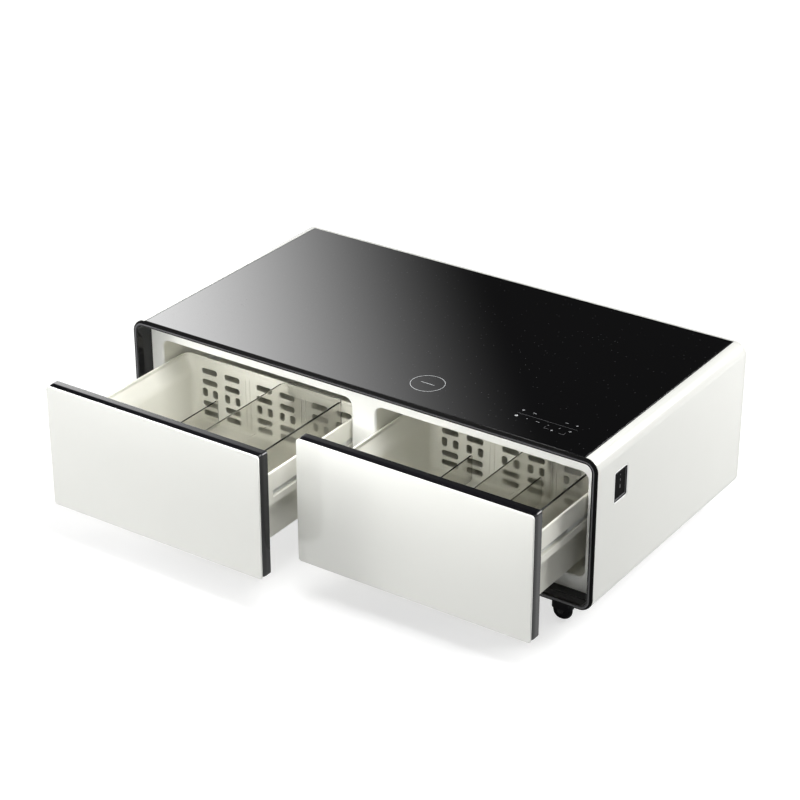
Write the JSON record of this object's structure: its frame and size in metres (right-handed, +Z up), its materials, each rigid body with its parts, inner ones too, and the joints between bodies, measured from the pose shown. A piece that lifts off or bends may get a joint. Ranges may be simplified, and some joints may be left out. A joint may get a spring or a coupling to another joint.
{
  "type": "smart coffee table with refrigerated drawers",
  "caption": "Low wheeled coffee table with a flush glass top and two refrigerated drawers side by side, each with a tub, a sliding basket and low dividers.",
  "frame": {"origin": "on the floor, below the middle of the whole table with its drawers as pictured", "axes": "+X to the right seen from the front, +Y to the back, +Z up"},
  "size_m": [1.3, 1.054, 0.449],
  "materials": {
    "outer_shell": "gloss white",
    "front_bezel": "gloss black",
    "front_panel": "gloss white",
    "glass_top": "black back-painted tempered glass",
    "glass_seal": "matt",
    "left_liner": "satin",
    "right_liner": "satin",
    "insulation_foam": "matt foam",
    "rear_panel": "gloss white",
    "wireless_charger": "wound coil in its tray",
    "touch_board": "circuit board",
    "power_socket": "black",
    "power_inlet": "black",
    "control_box": "grey",
    "compressor": "black painted",
    "compressor_tray": "grey",
    "condenser": "bare fins and copper tube",
    "condenser_fan_frame": "black",
    "left_evaporator": "bare",
    "right_evaporator": "bare",
    "front_left_castor_mount": "plated",
    "front_right_castor_mount": "plated",
    "rear_left_castor_mount": "plated",
    "rear_right_castor_mount": "plated",
    "left_outboard_fixed_rail": "zinc plated",
    "left_inboard_fixed_rail": "zinc plated",
    "right_outboard_fixed_rail": "zinc plated",
    "right_inboard_fixed_rail": "zinc plated",
    "condenser_fan_rotor": "black",
    "left_outboard_middle_rail": "zinc plated",
    "left_inboard_middle_rail": "zinc plated",
    "left_front_glass": "white back-painted glass",
    "left_front_frame": "satin black",
    "left_front_core": "white skin over foam",
    "left_gasket": "grey",
    "left_bin": "satin",
    "left_divider_1": "clear smoked",
    "left_outboard_drawer_rail": "zinc plated",
    "left_inboard_drawer_rail": "zinc plated",
    "left_basket": "clear smoked",
    "right_outboard_middle_rail": "zinc plated",
    "right_inboard_middle_rail": "zinc plated",
    "right_front_glass": "white back-painted glass",
    "right_front_frame": "satin black",
    "right_front_core": "white skin over foam",
    "right_gasket": "grey",
    "right_bin": "satin",
    "right_divider_1": "clear smoked",
    "right_divider_2": "clear smoked",
    "right_outboard_drawer_rail": "zinc plated",
    "right_inboard_drawer_rail": "zinc plated",
    "right_basket": "clear smoked",
    "front_left_castor_fork": "black plated",
    "front_left_castor_wheel": "matt black",
    "front_right_castor_fork": "black plated",
    "front_right_castor_wheel": "matt black",
    "rear_left_castor_fork": "black plated",
    "rear_left_castor_wheel": "matt black",
    "rear_right_castor_fork": "black plated",
    "rear_right_castor_wheel": "matt black"
  },
  "bodies": {
    "cabinet": {"outer_shell": "outer_shell", "front_bezel": "front_bezel", "front_panel": "front_panel", "glass_top": "glass_top", "glass_seal": "glass_seal", "left_liner": "left_liner", "right_liner": "right_liner", "insulation_foam": "insulation_foam", "rear_panel": "rear_panel", "wireless_charger": "wireless_charger", "touch_board": "touch_board", "power_socket": "power_socket", "power_inlet": "power_inlet", "control_box": "control_box", "compressor": "compressor", "compressor_tray": "compressor_tray", "condenser": "condenser", "condenser_fan_frame": "condenser_fan_frame", "left_evaporator": "left_evaporator", "right_evaporator": "right_evaporator", "front_left_castor_mount": "front_left_castor_mount", "front_right_castor_mount": "front_right_castor_mount", "rear_left_castor_mount": "rear_left_castor_mount", "rear_right_castor_mount": "rear_right_castor_mount", "left_outboard_fixed_rail": "left_outboard_fixed_rail", "left_inboard_fixed_rail": "left_inboard_fixed_rail", "right_outboard_fixed_rail": "right_outboard_fixed_rail", "right_inboard_fixed_rail": "right_inboard_fixed_rail"},
    "condenser_fan": {"condenser_fan_rotor": "condenser_fan_rotor"},
    "left_middle_rails": {"left_outboard_middle_rail": "left_outboard_middle_rail", "left_inboard_middle_rail": "left_inboard_middle_rail"},
    "left_drawer": {"left_front_glass": "left_front_glass", "left_front_frame": "left_front_frame", "left_front_core": "left_front_core", "left_gasket": "left_gasket", "left_bin": "left_bin", "left_divider_1": "left_divider_1", "left_outboard_drawer_rail": "left_outboard_drawer_rail", "left_inboard_drawer_rail": "left_inboard_drawer_rail"},
    "left_basket": {"left_basket": "left_basket"},
    "right_middle_rails": {"right_outboard_middle_rail": "right_outboard_middle_rail", "right_inboard_middle_rail": "right_inboard_middle_rail"},
    "right_drawer": {"right_front_glass": "right_front_glass", "right_front_frame": "right_front_frame", "right_front_core": "right_front_core", "right_gasket": "right_gasket", "right_bin": "right_bin", "right_divider_1": "right_divider_1", "right_divider_2": "right_divider_2", "right_outboard_drawer_rail": "right_outboard_drawer_rail", "right_inboard_drawer_rail": "right_inboard_drawer_rail"},
    "right_basket": {"right_basket": "right_basket"},
    "front_left_fork": {"front_left_castor_fork": "front_left_castor_fork"},
    "front_left_wheel": {"front_left_castor_wheel": "front_left_castor_wheel"},
    "front_right_fork": {"front_right_castor_fork": "front_right_castor_fork"},
    "front_right_wheel": {"front_right_castor_wheel": "front_right_castor_wheel"},
    "rear_left_fork": {"rear_left_castor_fork": "rear_left_castor_fork"},
    "rear_left_wheel": {"rear_left_castor_wheel": "rear_left_castor_wheel"},
    "rear_right_fork": {"rear_right_castor_fork": "rear_right_castor_fork"},
    "rear_right_wheel": {"rear_right_castor_wheel": "rear_right_castor_wheel"}
  },
  "joints": [
    {"name": "left_drawer_slide", "type": "slide", "parent": "cabinet", "child": "left_drawer", "axis": [0, -1, 0], "range_m": [-0.35, 0.05]},
    {"name": "left_middle_slide", "type": "slide", "parent": "cabinet", "child": "left_middle_rails", "axis": [0, -1, 0], "range_m": [-0.175, 0.025]},
    {"name": "right_drawer_slide", "type": "slide", "parent": "cabinet", "child": "right_drawer", "axis": [0, -1, 0], "range_m": [-0.233, 0.167]},
    {"name": "right_middle_slide", "type": "slide", "parent": "cabinet", "child": "right_middle_rails", "axis": [0, -1, 0], "range_m": [-0.1165, 0.0835]},
    {"name": "left_basket_slide", "type": "slide", "parent": "left_drawer", "child": "left_basket", "axis": [1, 0, 0], "range_m": [-0.283, 0.044]},
    {"name": "right_basket_slide", "type": "slide", "parent": "right_drawer", "child": "right_basket", "axis": [1, 0, 0], "range_m": [-0.309, 0.018]},
    {"name": "condenser_fan_spin", "type": "hinge", "parent": "cabinet", "child": "condenser_fan", "pos_m": [-0.39928, 0.433, 0.1413], "axis": [0, 1, 0], "continuous": true},
    {"name": "front_left_swivel", "type": "hinge", "parent": "cabinet", "child": "front_left_fork", "pos_m": [-0.576, -0.146, 0.055], "axis": [0, 0, 1], "continuous": true},
    {"name": "front_left_wheel_spin", "type": "hinge", "parent": "front_left_fork", "child": "front_left_wheel", "pos_m": [-0.556, -0.146, 0.025], "axis": [0, 1, 0], "continuous": true},
    {"name": "front_right_swivel", "type": "hinge", "parent": "cabinet", "child": "front_right_fork", "pos_m": [0.576, -0.146, 0.055], "axis": [0, 0, 1], "continuous": true},
    {"name": "front_right_wheel_spin", "type": "hinge", "parent": "front_right_fork", "child": "front_right_wheel", "pos_m": [0.556, -0.146, 0.025], "axis": [0, 1, 0], "continuous": true},
    {"name": "rear_left_swivel", "type": "hinge", "parent": "cabinet", "child": "rear_left_fork", "pos_m": [-0.576, 0.472, 0.055], "axis": [0, 0, 1], "continuous": true},
    {"name": "rear_left_wheel_spin", "type": "hinge", "parent": "rear_left_fork", "child": "rear_left_wheel", "pos_m": [-0.556, 0.472, 0.025], "axis": [0, 1, 0], "continuous": true},
    {"name": "rear_right_swivel", "type": "hinge", "parent": "cabinet", "child": "rear_right_fork", "pos_m": [0.576, 0.472, 0.055], "axis": [0, 0, 1], "continuous": true},
    {"name": "rear_right_wheel_spin", "type": "hinge", "parent": "rear_right_fork", "child": "rear_right_wheel", "pos_m": [0.556, 0.472, 0.025], "axis": [0, 1, 0], "continuous": true}
  ],
  "couplings": [
    {"joint": "left_middle_slide", "follows": "left_drawer_slide", "ratio": 0.5},
    {"joint": "right_middle_slide", "follows": "right_drawer_slide", "ratio": 0.5}
  ]
}
